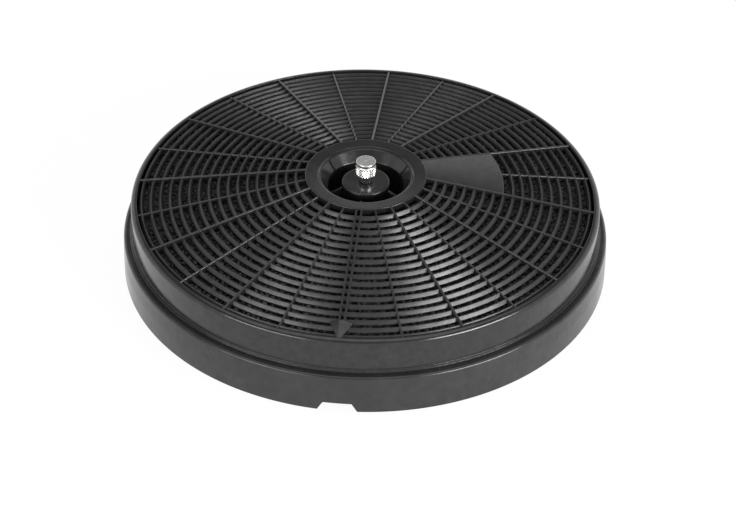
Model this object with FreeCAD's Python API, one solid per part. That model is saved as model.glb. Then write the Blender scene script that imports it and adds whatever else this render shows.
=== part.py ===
# Round charcoal filter of a recirculating cooker hood, standing on its skirt.
# Millimetres, +Z up. The origin is the centre of the skirt's foot, and the arrow points to -Y.
# A moulded cover with a conical grille closes a moulded tray, with charcoal between them,
# and a captive thumb screw in the middle fastens the filter to the hood's motor.
import FreeCAD
import Part
import math
import os
from FreeCAD import Vector

# Tray: skirt, ledge and chamber
skirt_r = 116.5          # outside
skirt_wall = 2.1
skirt_chamfer = 1.4      # at the shoulder, under the ledge
ledge_z = 19.4           # top of the ledge that carries the cover
ledge_thick = 2.2
chamber_wall = 1.8
spigot_height = 6.0      # how far the chamber's wall stands up inside the cover
spigot_gap = 0.1
recess_depth = 7.0       # from the foot up to the motor-side grille
floor_thick = 2.4
notch_width = 18.9       # locating notch, at the foot
notch_top_width = 13.1
notch_height = 4.8
notch_round = 0.9

# Motor-side grille
floor_border = 3.0       # plain border outside the slots
floor_ribs = 12
floor_rings = 5
floor_rib_thick = 1.6
floor_ring_thick = 2.0
floor_hub_r = 25.0
floor_hole_r = 8.0
collar_height = 4.4      # collar round the foot of the cover's tube
collar_wall = 1.6

# Cover: upper wall and rim
cover_r = 112.2          # outside of the upper wall
cover_wall = 1.8
rim_z = 37.2
shoulder_out = 2.4       # the rim's sloping shoulder, across
shoulder_down = 2.6
rim_open_r = 107.4
rim_depth = 3.0
bead_out = 1.1           # the wall's foot stands out this much
bead_height = 1.0
bead_slope = 1.9

# Cover: conical grille
hub_r = 29.0
hub_z = 50.0
rib_end_r = 109.0        # the ribs run out on the rim here
rib_thick = 1.1
rib_depth = 3.2
minor_rib_thick = 0.9
minor_rib_drop = 1.0     # tops of the minor ribs, below those of the main ribs
rib_pairs = 12           # a main and a minor rib in each
lap = 0.6                # how far a rib or web reaches into what carries it
slat_count = 16
slat_thick = 0.9
slat_drop = 0.3          # tops of the slats, below those of the main ribs
slat_depth = 2.2
slat_sag = 0.5           # most that a slat's straight length may lie inside its circle
plate_r = 66.0           # bare plate between two main ribs
plate_azimuth = 0.0      # where the plate starts
plate_thick = 1.5
arrow_azimuth = 270.0
arrow_rib_thick = 1.0
arrow_rib_gap = 1.4      # between the two ribs that carry the arrow
arrow_width = 10.5
arrow_length = 10.0
arrow_thick = 1.2

# Cover: well, tube and boss
well_r = 22.9
well_step_r = 21.6
well_step_drop = 1.2
well_foot_r = 18.2
well_foot_z = 44.1
hub_depth = 3.5
hub_edge_chamfer = 0.5
tube_wall = 1.6
boss_r = 11.6
boss_z = 46.0
boss_thick = 2.4
boss_skirt_depth = 9.0
boss_wall = 1.6
boss_chamfer = 0.8
sleeve_r = 5.0
sleeve_foot_z = 13.0
web_thick = 1.4
web_azimuths = (90.0, 195.0, 345.0)
web_top_drop = 2.6       # at the boss
web_fall = 3.4           # from the boss out to the tube
web_foot_z = 16.0
fin_azimuths = (30.0, 150.0, 270.0)
fin_thick = 0.8
fin_height = 0.7

# Charcoal
bed_gap = 0.2            # all round the bed
bed_flats = 48

# Thumb screw and its retaining ring
shank_r = 2.5
shank_clearance = 0.08
shank_foot_z = 3.0
shank_chamfer = 0.6
knob_r = 4.9
knob_gap = 0.3           # from the boss up to the collar
knob_collar_r = 4.1
knob_collar_length = 3.8
knurl_length = 5.0
knurl_chamfer = 0.3
neck_r = 4.25
neck_length = 1.0
head_r = 4.75
head_length = 1.4
head_chamfer = 0.45
retainer_r = 5.2
retainer_thick = 0.8
retainer_gap = 0.3       # from the sleeve down to the ring
groove_depth = 0.35

# Sizes that follow from those above
cover_in_r = cover_r - cover_wall
spigot_r = cover_in_r - spigot_gap
chamber_r = spigot_r - chamber_wall
floor_top = recess_depth + floor_thick
floor_edge_r = chamber_r - floor_border
tube_r = well_foot_r + tube_wall
collar_in_r = tube_r + spigot_gap
collar_out_r = collar_in_r + collar_wall
rib_step = 360.0 / rib_pairs
axis_foot = Vector(0, 0, 0)
axis_up = Vector(0, 0, 1)


def rib_top(radius):
    """Height of the main ribs' tops at a radius."""
    return hub_z - (hub_z - rim_z) * (radius - hub_r) / (rib_end_r - hub_r)


def outline(corners):
    """Closed wire in the XZ plane through (x, z) or (x, z, corner radius)."""
    points = [Vector(c[0], 0, c[1]) for c in corners]
    starts = list(points)
    ends = list(points)
    edges = []
    for i, corner in enumerate(corners):
        if len(corner) < 3:
            continue
        here = points[i]
        back = (points[i - 1] - here).normalize()
        ahead = (points[(i + 1) % len(points)] - here).normalize()
        half = back.getAngle(ahead) / 2
        middle = (back + ahead).normalize()
        reach = corner[2] / math.tan(half)
        depth = corner[2] / math.sin(half) - corner[2]
        starts[i] = here + back * reach
        ends[i] = here + ahead * reach
        edges.append(Part.Arc(starts[i], here + middle * depth, ends[i]).toShape())
    for i, end in enumerate(ends):
        edges.append(Part.makeLine(end, starts[(i + 1) % len(starts)]))
    return Part.Wire(Part.__sortEdges__(edges))


def turned(corners, from_azimuth=0.0, sweep=360.0):
    """Solid of revolution about Z."""
    face = Part.Face(outline(corners))
    face.rotate(axis_foot, axis_up, from_azimuth)
    return face.revolve(axis_foot, axis_up, sweep)


def upright(corners, thick, azimuth, aside=0.0):
    """Flat plate that stands along a radius, or beside it by a distance."""
    face = Part.Face(outline(corners))
    face.translate(Vector(0, aside - thick / 2, 0))
    plate = face.extrude(Vector(0, thick, 0))
    plate.rotate(axis_foot, axis_up, azimuth)
    return plate


def ring_of_flats(section, flats, from_azimuth=0.0, sweep=360.0):
    """Ring of straight lengths with the section (x, z), open if it sweeps less than a turn."""
    closed = sweep >= 360.0
    stations = []
    for i in range(flats if closed else flats + 1):
        turn = math.radians(from_azimuth + sweep * i / flats)
        stations.append([Vector(x * math.cos(turn), x * math.sin(turn), z) for x, z in section])
    faces = []
    for i in range(flats):
        near = stations[i]
        far = stations[(i + 1) % len(stations)]
        for j in range(len(section)):
            k = (j + 1) % len(section)
            corners = [near[j], near[k], far[k], far[j], near[j]]
            faces.append(Part.Face(Part.makePolygon(corners)))
    if not closed:
        for end in (stations[0], stations[-1]):
            faces.append(Part.Face(Part.makePolygon(end + end[:1])))
    ring = Part.Solid(Part.Shell(faces))
    if ring.Volume < 0:
        ring.reverse()
    return ring


def flats_between_ribs(radius):
    """How many straight lengths a ring needs from one rib to the next."""
    sag = radius * (1 - math.cos(math.radians(rib_step / 4)))
    return math.ceil(math.sqrt(sag / slat_sag))


def cover_shell():
    """Rim, upper wall and the bead at its foot."""
    bead_r = cover_r + bead_out
    bead_z = ledge_z + bead_height
    return turned([
        (cover_in_r, ledge_z),
        (bead_r, ledge_z),
        (bead_r, bead_z),
        (cover_r, bead_z + bead_slope),
        (cover_r, rim_z - shoulder_down),
        (cover_r - shoulder_out / 3, rim_z - shoulder_down / 3),
        (cover_r - shoulder_out, rim_z),
        (rim_open_r, rim_z),
        (rim_open_r, rim_z - rim_depth),
        (cover_in_r, rim_z - rim_depth),
    ])


def cover_hub():
    """Hub ring, the well inside it and the tube down to the tray."""
    return turned([
        (tube_r, floor_top),
        (tube_r, well_foot_z - tube_wall / 2),
        (well_r + tube_wall, hub_z - hub_depth),
        (hub_r, hub_z - hub_depth),
        (hub_r, hub_z),
        (well_r + hub_edge_chamfer, hub_z),
        (well_r, hub_z - hub_edge_chamfer),
        (well_step_r, hub_z - well_step_drop),
        (well_foot_r, well_foot_z),
        (well_foot_r, floor_top),
    ])


def cover_boss():
    """Capped boss with the sleeve that guides the thumb screw."""
    bore_r = shank_r + shank_clearance
    under = boss_z - boss_thick
    return turned([
        (bore_r, boss_z),
        (boss_r - boss_chamfer, boss_z),
        (boss_r, boss_z - boss_chamfer),
        (boss_r, boss_z - boss_skirt_depth),
        (boss_r - boss_wall, boss_z - boss_skirt_depth),
        (boss_r - boss_wall, under),
        (sleeve_r, under),
        (sleeve_r, sleeve_foot_z),
        (bore_r, sleeve_foot_z),
    ])


def webs():
    """Webs from the sleeve through the boss to the tube."""
    top = boss_z - web_top_drop
    profile = [
        (sleeve_r - lap, web_foot_z),
        (well_foot_r + lap, web_foot_z),
        (well_foot_r + lap, top - web_fall),
        (boss_r - lap, top),
        (sleeve_r - lap, top),
    ]
    return [upright(profile, web_thick, azimuth) for azimuth in web_azimuths]


def fins():
    """Thin fins on the sloping wall of the well."""
    top = hub_z - well_step_drop
    profile = [
        (well_foot_r - fin_height, well_foot_z),
        (well_foot_r + lap, well_foot_z - lap),
        (well_step_r + lap, top - lap),
        (well_step_r - fin_height, top),
    ]
    return [upright(profile, fin_thick, azimuth) for azimuth in fin_azimuths]


def rib(thick, azimuth, drop=0.0, aside=0.0, start=hub_r - lap):
    """Radial rib of the cover, its top lower than the main ribs' tops by the drop."""
    seat = rim_open_r + lap
    profile = [
        (start, rib_top(start) - rib_depth),
        (seat, rib_top(seat) - rib_depth),
        (seat, rib_top(seat) - drop),
        (start, rib_top(start) - drop),
    ]
    if drop == 0:
        run_out = (rib_end_r, rim_z)
        profile[2:3] = [(seat, rim_z - lap), (rib_end_r, rim_z - lap), run_out]
    return upright(profile, thick, azimuth, aside)


def ribs():
    """Main and minor ribs, with two thin ribs side by side under the arrow."""
    made = []
    beside = (arrow_rib_thick + arrow_rib_gap) / 2
    for i in range(rib_pairs):
        azimuth = plate_azimuth + i * rib_step
        if abs(azimuth - arrow_azimuth) < rib_step / 4:
            made += [rib(arrow_rib_thick, azimuth, aside=side) for side in (-beside, beside)]
        else:
            made.append(rib(rib_thick, azimuth))
        start = plate_r - lap if i == 0 else hub_r - lap
        made.append(rib(minor_rib_thick, azimuth + rib_step / 2, minor_rib_drop, start=start))
    return made


def slats():
    """Slat rings, wedges in section, left out where the plate is."""
    made = []
    pitch = (rim_open_r - hub_r + slat_thick) / (slat_count + 1)
    for i in range(1, slat_count + 1):
        radius = hub_r - slat_thick / 2 + i * pitch
        top = rib_top(radius) - slat_drop
        section = [
            (radius + slat_thick / 2, top),
            (radius - slat_thick / 2, top),
            (radius, top - slat_depth),
        ]
        flats = flats_between_ribs(radius) * 2
        if radius < plate_r:
            start = plate_azimuth + rib_step
            made.append(ring_of_flats(section, flats * (rib_pairs - 1), start, 360 - rib_step))
        else:
            made.append(ring_of_flats(section, flats * rib_pairs))
    return made


def plate():
    """Bare plate that closes the slots between two main ribs."""
    start = hub_r - lap
    return turned([
        (start, rib_top(start) - plate_thick),
        (plate_r, rib_top(plate_r) - plate_thick),
        (plate_r, rib_top(plate_r)),
        (start, rib_top(start)),
    ], plate_azimuth, rib_step)


def arrow():
    """Flat arrow head that points at the rim and follows the cone."""
    base = rib_end_r - arrow_length
    corners = [
        Vector(rib_end_r, 0, rib_top(rib_end_r)),
        Vector(base, arrow_width / 2, rib_top(base)),
        Vector(base, -arrow_width / 2, rib_top(base)),
    ]
    face = Part.Face(Part.makePolygon(corners + corners[:1]))
    head = face.extrude(Vector(0, 0, -arrow_thick))
    head.rotate(axis_foot, axis_up, arrow_azimuth)
    return head


def grille_cover():
    """The moulded cover as one solid."""
    pieces = [cover_hub(), cover_boss(), plate(), arrow()]
    pieces += webs() + fins() + ribs() + slats()
    return cover_shell().fuse(pieces).removeSplitter()


def tray_shell():
    """Skirt, ledge and chamber wall, with the border of its floor."""
    ledge_under = ledge_z - ledge_thick
    skirt_in_r = skirt_r - skirt_wall
    spigot_z = ledge_z + spigot_height
    return turned([
        (skirt_in_r, 0),
        (skirt_r, 0),
        (skirt_r, ledge_z - skirt_chamfer),
        (skirt_r - skirt_chamfer, ledge_z),
        (spigot_r, ledge_z),
        (spigot_r, spigot_z),
        (chamber_r, spigot_z),
        (chamber_r, floor_top),
        (floor_edge_r, floor_top),
        (floor_edge_r, recess_depth),
        (spigot_r, recess_depth),
        (spigot_r, ledge_under),
        (skirt_in_r, ledge_under),
    ])


def tray_hub():
    """Hub of the tray, with the collar that centres the cover's tube."""
    collar_z = floor_top + collar_height
    return turned([
        (floor_hole_r, recess_depth),
        (floor_hub_r, recess_depth),
        (floor_hub_r, floor_top),
        (collar_out_r, floor_top),
        (collar_out_r, collar_z),
        (collar_in_r, collar_z),
        (collar_in_r, floor_top),
        (floor_hole_r, floor_top),
    ])


def floor_grille():
    """Ribs and rings of the motor-side grille."""
    profile = [
        (floor_hub_r - lap, recess_depth),
        (floor_edge_r + lap, recess_depth),
        (floor_edge_r + lap, floor_top),
        (floor_hub_r - lap, floor_top),
    ]
    step = 360.0 / floor_ribs
    made = [upright(profile, floor_rib_thick, i * step) for i in range(floor_ribs)]
    pitch = (floor_edge_r - floor_hub_r + floor_ring_thick) / (floor_rings + 1)
    for i in range(1, floor_rings + 1):
        outer = floor_hub_r + i * pitch
        inner = outer - floor_ring_thick
        section = [(outer, recess_depth), (outer, floor_top), (inner, floor_top), (inner, recess_depth)]
        made.append(ring_of_flats(section, flats_between_ribs(outer) * 2 * floor_ribs))
    return made


def notch():
    """Cutter for the locating notch in the skirt under the arrow."""
    deep = skirt_wall * 2
    below = notch_height
    face = Part.Face(outline([
        (-notch_width / 2, -below),
        (-notch_width / 2, 0),
        (-notch_top_width / 2, notch_height, notch_round),
        (notch_top_width / 2, notch_height, notch_round),
        (notch_width / 2, 0),
        (notch_width / 2, -below),
    ]))
    cutter = face.extrude(Vector(0, deep, 0))
    cutter.translate(Vector(0, skirt_r - deep * 0.75, 0))
    cutter.rotate(axis_foot, axis_up, arrow_azimuth - 90.0)
    return cutter


def base_tray():
    """The moulded tray as one solid."""
    tray = tray_shell().fuse([tray_hub()] + floor_grille())
    return tray.cut(notch()).removeSplitter()


def charcoal_bed():
    """The charcoal as one bed that fills the chamber."""
    inner = collar_out_r + bed_gap
    outer = chamber_r - bed_gap
    low = floor_top + bed_gap
    under = rib_depth + bed_gap
    section = [
        (inner / math.cos(math.pi / bed_flats), low),
        (outer, low),
        (outer, min(rib_top(outer) - under, rim_z - rim_depth - bed_gap)),
        (hub_r, rib_top(hub_r) - under - bed_gap),
        (inner / math.cos(math.pi / bed_flats), well_foot_z - tube_wall),
    ]
    return ring_of_flats(section, bed_flats)


def thumb_screw():
    """Knob, collar and shank, turned as one piece."""
    base = boss_z + knob_gap
    knurl_low = base + knob_collar_length
    knurl_high = knurl_low + knurl_length
    head_low = knurl_high + neck_length
    head_top = head_low + head_length
    groove_top = sleeve_foot_z - retainer_gap
    groove_low = groove_top - retainer_thick
    return turned([
        (0, shank_foot_z),
        (shank_r - shank_chamfer, shank_foot_z),
        (shank_r, shank_foot_z + shank_chamfer),
        (shank_r, groove_low),
        (shank_r - groove_depth, groove_low),
        (shank_r - groove_depth, groove_top),
        (shank_r, groove_top),
        (shank_r, base),
        (knob_collar_r, base),
        (knob_collar_r, knurl_low),
        (knob_r - knurl_chamfer, knurl_low),
        (knob_r, knurl_low + knurl_chamfer),
        (knob_r, knurl_high - knurl_chamfer),
        (knob_r - knurl_chamfer, knurl_high),
        (neck_r, knurl_high),
        (neck_r, head_low),
        (head_r, head_low),
        (head_r, head_top - head_chamfer),
        (head_r - head_chamfer, head_top),
        (0, head_top),
    ])


def retaining_ring():
    """Sprung ring in the shank's groove that keeps the screw in its sleeve."""
    top = sleeve_foot_z - retainer_gap
    inner = shank_r - groove_depth
    return turned([
        (inner, top - retainer_thick),
        (retainer_r, top - retainer_thick),
        (retainer_r, top),
        (inner, top),
    ])


nodes = {
    "base_tray": base_tray,
    "charcoal_bed": charcoal_bed,
    "grille_cover": grille_cover,
    "thumb_screw": thumb_screw,
    "retaining_ring": retaining_ring,
}

os.makedirs("parts", exist_ok=True)
for name, make in nodes.items():
    shape = make()
    solids = shape.Solids
    if len(solids) == 1:
        shape = solids[0]
    print(name, "solids", len(solids), "valid", shape.isValid(), "cm3", round(shape.Volume / 1000, 2))
    shape.exportStep("parts/" + name + ".step")
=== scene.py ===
# Looks of a round cooker hood charcoal filter, dressed over its fixed frame.
# Lengths in the dictionaries are millimetres and angles degrees, in the frame's own axes.
import bmesh
import bpy
from math import cos, pi, radians, sin, tan
from mathutils import Matrix, Vector


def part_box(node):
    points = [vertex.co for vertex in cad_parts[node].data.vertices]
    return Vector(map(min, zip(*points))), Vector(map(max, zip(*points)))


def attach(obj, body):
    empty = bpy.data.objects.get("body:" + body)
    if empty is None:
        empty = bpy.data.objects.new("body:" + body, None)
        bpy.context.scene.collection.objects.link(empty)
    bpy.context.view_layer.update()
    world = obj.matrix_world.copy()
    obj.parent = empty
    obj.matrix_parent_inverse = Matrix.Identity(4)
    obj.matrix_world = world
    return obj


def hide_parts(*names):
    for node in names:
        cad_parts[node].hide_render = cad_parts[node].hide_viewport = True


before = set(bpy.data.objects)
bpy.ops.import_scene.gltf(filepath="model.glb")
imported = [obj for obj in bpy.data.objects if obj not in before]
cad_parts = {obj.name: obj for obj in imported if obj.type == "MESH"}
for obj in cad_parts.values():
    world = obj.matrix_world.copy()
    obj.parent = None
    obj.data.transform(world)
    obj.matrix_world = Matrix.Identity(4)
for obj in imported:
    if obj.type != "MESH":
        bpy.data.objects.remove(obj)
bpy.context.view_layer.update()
scene = bpy.context.scene
mm = 0.001
print("frame loaded")

# Camera, at the photograph's viewpoint
photoView = {
    "width": 736,          # pixels of the photograph
    "height": 509,
    "lens": 132.0,
    "sensor": 36.0,
    "distance": 1292.1,
    "turn": 5.83,          # the camera stands this far round from the arrow
    "elevation": 35.69,
    "roll": -0.694,
    "aimHeight": 37.9,     # a point on the axis, level with the rim
    "aimX": 364.87,        # pixel where that point shows
    "aimY": 194.28,
}


def placeCamera(view):
    turn = radians(view["turn"])
    elevation = radians(view["elevation"])
    back = Vector((sin(turn) * cos(elevation), -cos(turn) * cos(elevation), sin(elevation)))
    right = Vector((cos(turn), sin(turn), 0))
    up = back.cross(right)
    focal = view["lens"] / view["sensor"] * view["width"]
    toAim = Vector((view["aimX"] - view["width"] / 2, view["height"] / 2 - view["aimY"], -focal))
    swing = Vector((0, 0, -1)).rotation_difference(toAim).to_matrix()
    roll = Matrix.Rotation(radians(view["roll"]), 3, "Z")
    level = Matrix((right, up, back)).transposed()
    aim = Vector((0, 0, view["aimHeight"] * mm))
    data = bpy.data.cameras.new("photoCamera")
    data.lens = view["lens"]
    data.sensor_width = view["sensor"]
    camera = bpy.data.objects.new("photoCamera", data)
    scene.collection.objects.link(camera)
    turned = (level @ (roll @ swing).transposed()).to_4x4()
    camera.matrix_world = Matrix.Translation(aim + back * view["distance"] * mm) @ turned
    scene.camera = camera


placeCamera(photoView)
print("camera placed")


# Node trees: one function adds a node with its settings and links
def addNode(tree, kind, inputs=None, **settings):
    node = tree.nodes.new(kind)
    for setting, value in settings.items():
        setattr(node, setting, value)
    for socket, value in (inputs or {}).items():
        if isinstance(value, bpy.types.NodeSocket):
            tree.links.new(value, node.inputs[socket])
        else:
            node.inputs[socket].default_value = value
    return node


def linear(hexColour):
    parts = [int(hexColour[i:i + 2], 16) / 255 for i in (1, 3, 5)]
    return [c / 12.92 if c <= 0.04045 else ((c + 0.055) / 1.055) ** 2.4 for c in parts] + [1]


# Studio: pale floor, white walls under a dim ceiling, two soft boxes and one overhead
studio = {
    "floorColour": "#f2f2f2",
    "floorSize": 6000,
    "floorDrop": 0.05,     # below the foot, so that the two don't share a plane
    "floorGlow": 0.94,     # share of the floor that shows as plain white, mirrored too
    "floorSheen": 0.02,
    "floorRoughness": 0.3,
    "wallTop": 28,         # elevation up to which the white walls reach
    "ceilingStart": 34,
    "wall": 1.0,           # radiance of the walls and of the ceiling
    "ceiling": 0.22,
}

# Lamps: azimuth, elevation and distance from the filter, then width, height and radiance
lamps = {
    "leftBox": (-128, 21, 1300, 800, 360, 6.0),
    "rightBox": (-36, 21, 1300, 800, 360, 18.0),
    "topBox": (90, 88, 1300, 1500, 1300, 1.3),
}


def placeLamp(name, azimuth, elevation, distance, width, height, radiance):
    data = bpy.data.lights.new(name, "AREA")
    data.shape = "RECTANGLE"
    data.size = width * mm
    data.size_y = height * mm
    data.energy = radiance * pi * data.size * data.size_y
    lamp = bpy.data.objects.new(name, data)
    scene.collection.objects.link(lamp)
    a = radians(azimuth)
    e = radians(elevation)
    away = Vector((cos(a) * cos(e), sin(a) * cos(e), sin(e)))
    lamp.location = away * distance * mm
    lamp.rotation_mode = "QUATERNION"
    lamp.rotation_quaternion = away.to_track_quat("Z", "Y")


def buildWorld():
    # White walls and a dim ceiling
    world = bpy.data.worlds.new("studioWorld")
    scene.world = world
    world.use_nodes = True
    tree = world.node_tree
    tree.nodes.clear()
    towards = addNode(tree, "ShaderNodeTexCoord")
    height = addNode(tree, "ShaderNodeSeparateXYZ", {0: towards.outputs["Generated"]})
    room = addNode(tree, "ShaderNodeMapRange", {
        "Value": height.outputs["Z"], "From Min": sin(radians(studio["wallTop"])),
        "From Max": sin(radians(studio["ceilingStart"])), "To Min": studio["wall"],
        "To Max": studio["ceiling"]})
    light = addNode(tree, "ShaderNodeBackground", {"Strength": room.outputs[0]})
    light.inputs["Color"].default_value = (1, 1, 1, 1)
    addNode(tree, "ShaderNodeOutputWorld", {"Surface": light.outputs[0]})


def buildFloor():
    half = studio["floorSize"] / 2 * mm
    low = -studio["floorDrop"] * mm
    mesh = bpy.data.meshes.new("floor")
    corners = [(-half, -half, low), (half, -half, low), (half, half, low), (-half, half, low)]
    mesh.from_pydata(corners, [], [(0, 1, 2, 3)])
    floor = bpy.data.objects.new("floor", mesh)
    scene.collection.objects.link(floor)
    material = bpy.data.materials.new("paleFloor")
    material.use_nodes = True
    tree = material.node_tree
    tree.nodes.clear()
    path = addNode(tree, "ShaderNodeLightPath")
    mirrored = addNode(tree, "ShaderNodeMath", {0: path.outputs["Is Glossy Ray"],
                       1: path.outputs["Is Transmission Ray"]}, operation="MAXIMUM")
    direct = addNode(tree, "ShaderNodeMath", {0: path.outputs["Is Camera Ray"],
                     1: mirrored.outputs[0]}, operation="MAXIMUM")
    share = addNode(tree, "ShaderNodeMath", {0: direct.outputs[0],
                    1: studio["floorGlow"]}, operation="MULTIPLY")
    paint = addNode(tree, "ShaderNodeBsdfDiffuse", {"Color": linear(studio["floorColour"])})
    glow = addNode(tree, "ShaderNodeEmission", {"Strength": 1.0})
    mixed = addNode(tree, "ShaderNodeMixShader", {0: share.outputs[0], 1: paint.outputs[0],
                    2: glow.outputs[0]})
    sheen = addNode(tree, "ShaderNodeBsdfAnisotropic", {
        "Color": [studio["floorSheen"]] * 3 + [1], "Roughness": studio["floorRoughness"]})
    both = addNode(tree, "ShaderNodeAddShader", {0: mixed.outputs[0], 1: sheen.outputs[0]})
    addNode(tree, "ShaderNodeOutputMaterial", {"Surface": both.outputs[0]})
    mesh.materials.append(material)


scene.view_settings.view_transform = "Standard"
buildWorld()
buildFloor()
for lampName, lampValues in lamps.items():
    placeLamp(lampName, *lampValues)
print("studio lit")


# Materials: what varies over each surface, with the size of its pattern in millimetres
plasticLook = {
    "cloud": 14,           # flow marks, which tint the colour and the roughness
    "patch": 4,
    "grain": 0.9,          # the mould's spark grain, drawn coarse so that it shows
    "grainDepth": 0.05,
    "grainStrength": 0.12,
    "noiseLow": 0.3,       # where most of a noise texture's values begin and end
    "noiseHigh": 0.7,
    "roughnessSpread": 0.05,
    "leastSpecular": 0.38,
    "mostSpecular": 0.6,
    "index": 1.49,
}
charcoalLook = {
    "dark": "#0c0c0c",
    "pale": "#3a3a3a",
    "fleck": 2.5,
    "fleckDepth": 0.3,
    "fleckStrength": 0.5,
    "roughness": 0.7,
    "specular": 0.3,
}
nickelLook = {
    "colour": "#d4d3d0",
    "ring": 0.35,          # a lathe mark's width over 2 pi
    "ringDepth": 0.03,
    "ringStrength": 0.04,
    "ringWaver": 0.4,
    "haze": 1.5,
    "roughness": (0.16, 0.34),
}
steelLook = {
    "colour": "#8d8d8b",
    "haze": 1.2,
    "roughness": (0.3, 0.5),
}


def newMaterial(name):
    material = bpy.data.materials.new(name)
    material.use_nodes = True
    tree = material.node_tree
    tree.nodes.clear()
    place = addNode(tree, "ShaderNodeTexCoord").outputs["Object"]
    return material, tree, place


def closeMaterial(tree, shader):
    addNode(tree, "ShaderNodeOutputMaterial", {"Surface": shader.outputs[0]})


def mouldedPolypropylene(name, colour, paleColour, roughness):
    # Carbon-black polypropylene from a polished steel mould: satin, with faint cloudy flow marks
    look = plasticLook
    material, tree, place = newMaterial(name)
    cloud = addNode(tree, "ShaderNodeTexNoise", {"Vector": place,
                    "Scale": 1 / (look["cloud"] * mm), "Detail": 3.0, "Roughness": 0.6})
    grain = addNode(tree, "ShaderNodeTexNoise", {"Vector": place,
                    "Scale": 1 / (look["grain"] * mm), "Detail": 2.0})
    tint = addNode(tree, "ShaderNodeMix", {0: cloud.outputs[0], 6: linear(colour),
                   7: linear(paleColour)}, data_type="RGBA")
    sheen = addNode(tree, "ShaderNodeMapRange", {
        "Value": cloud.outputs[0], "From Min": look["noiseLow"], "From Max": look["noiseHigh"],
        "To Min": roughness - look["roughnessSpread"],
        "To Max": roughness + look["roughnessSpread"]})
    bump = addNode(tree, "ShaderNodeBump", {
        "Height": grain.outputs[0], "Strength": look["grainStrength"],
        "Distance": look["grainDepth"] * mm})
    patch = addNode(tree, "ShaderNodeTexNoise", {"Vector": place,
                    "Scale": 1 / (look["patch"] * mm), "Detail": 4.0, "Roughness": 0.65})
    level = addNode(tree, "ShaderNodeMapRange", {
        "Value": patch.outputs[0], "From Min": look["noiseLow"], "From Max": look["noiseHigh"],
        "To Min": look["leastSpecular"], "To Max": look["mostSpecular"]})
    shader = addNode(tree, "ShaderNodeBsdfPrincipled", {
        "Base Color": tint.outputs[2], "Roughness": sheen.outputs[0],
        "Specular IOR Level": level.outputs[0], "Normal": bump.outputs[0],
        "IOR": look["index"]})
    closeMaterial(tree, shader)
    return material


def activatedCharcoal():
    # Crushed activated charcoal: matt, almost black, a little paler on some faces
    look = charcoalLook
    material, tree, place = newMaterial("activatedCharcoal")
    fleck = addNode(tree, "ShaderNodeTexNoise", {"Vector": place,
                    "Scale": 1 / (look["fleck"] * mm), "Detail": 3.0})
    tint = addNode(tree, "ShaderNodeMix", {0: fleck.outputs[0], 6: linear(look["dark"]),
                   7: linear(look["pale"])}, data_type="RGBA")
    bump = addNode(tree, "ShaderNodeBump", {
        "Height": fleck.outputs[0], "Strength": look["fleckStrength"],
        "Distance": look["fleckDepth"] * mm})
    shader = addNode(tree, "ShaderNodeBsdfPrincipled", {
        "Base Color": tint.outputs[2], "Roughness": look["roughness"],
        "Specular IOR Level": look["specular"], "Normal": bump.outputs[0]})
    closeMaterial(tree, shader)
    return material


def hazyRoughness(tree, place, look):
    haze = addNode(tree, "ShaderNodeTexNoise", {"Vector": place,
                   "Scale": 1 / (look["haze"] * mm)})
    low, high = look["roughness"]
    return addNode(tree, "ShaderNodeMapRange", {"Value": haze.outputs[0], "To Min": low,
                   "To Max": high})


def platedNickel():
    # Bright nickel on turned brass: warm white, with fine rings from the lathe
    look = nickelLook
    material, tree, place = newMaterial("platedNickel")
    marks = addNode(tree, "ShaderNodeTexWave", {  # a wave texture runs 20 radians to its unit
        "Vector": place, "Scale": 1 / (look["ring"] * mm) / 20,
        "Distortion": look["ringWaver"]}, wave_type="RINGS", rings_direction="Z")
    rough = hazyRoughness(tree, place, look)
    bump = addNode(tree, "ShaderNodeBump", {
        "Height": marks.outputs[1], "Strength": look["ringStrength"],
        "Distance": look["ringDepth"] * mm})
    shader = addNode(tree, "ShaderNodeBsdfPrincipled", {
        "Base Color": linear(look["colour"]), "Metallic": 1.0, "Roughness": rough.outputs[0],
        "Normal": bump.outputs[0]})
    closeMaterial(tree, shader)
    return material


def springSteel():
    # Stamped spring steel, oiled: grey metal with a soft haze
    look = steelLook
    material, tree, place = newMaterial("springSteel")
    rough = hazyRoughness(tree, place, look)
    shader = addNode(tree, "ShaderNodeBsdfPrincipled", {
        "Base Color": linear(look["colour"]), "Metallic": 1.0, "Roughness": rough.outputs[0]})
    closeMaterial(tree, shader)
    return material


coverPlastic = mouldedPolypropylene("coverPolypropylene", "#1b1b1b", "#242424", 0.16)
slatPlastic = mouldedPolypropylene("slatPolypropylene", "#191919", "#232323", 0.34)
trayPlastic = mouldedPolypropylene("trayPolypropylene", "#1e1e1e", "#2f2f2f", 0.2)
charcoal = activatedCharcoal()
nickel = platedNickel()
steel = springSteel()
print("materials made")


# Shapes: outlines with rounded corners, turned about the axis or stood up along a radius
def roundedOutline(corners, steps, hold=0.2):
    # Corners are (radius, height) or (radius, height, rounding); each straight run is held by
    # a point near its ends, so that shading stays flat on it
    points = []
    for i, corner in enumerate(corners):
        here = Vector(corner[:2])
        if len(corner) < 3:
            points.append(here)
            continue
        back = (Vector(corners[i - 1][:2]) - here).normalized()
        ahead = (Vector(corners[(i + 1) % len(corners)][:2]) - here).normalized()
        half = back.angle(ahead) / 2
        centre = here + (back + ahead).normalized() * corner[2] / sin(half)
        start = here + back * corner[2] / tan(half) - centre
        end = here + ahead * corner[2] / tan(half) - centre
        turn = start.angle_signed(end)
        for j in range(steps + 1):
            points.append(centre + Matrix.Rotation(-turn * j / steps, 2) @ start)
    held = []
    for i, point in enumerate(points):
        held.append(point)
        following = points[(i + 1) % len(points)]
        run = following - point
        if run.length > 5 * hold:
            held += [point + run.normalized() * hold, following - run.normalized() * hold]
    return held


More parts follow.
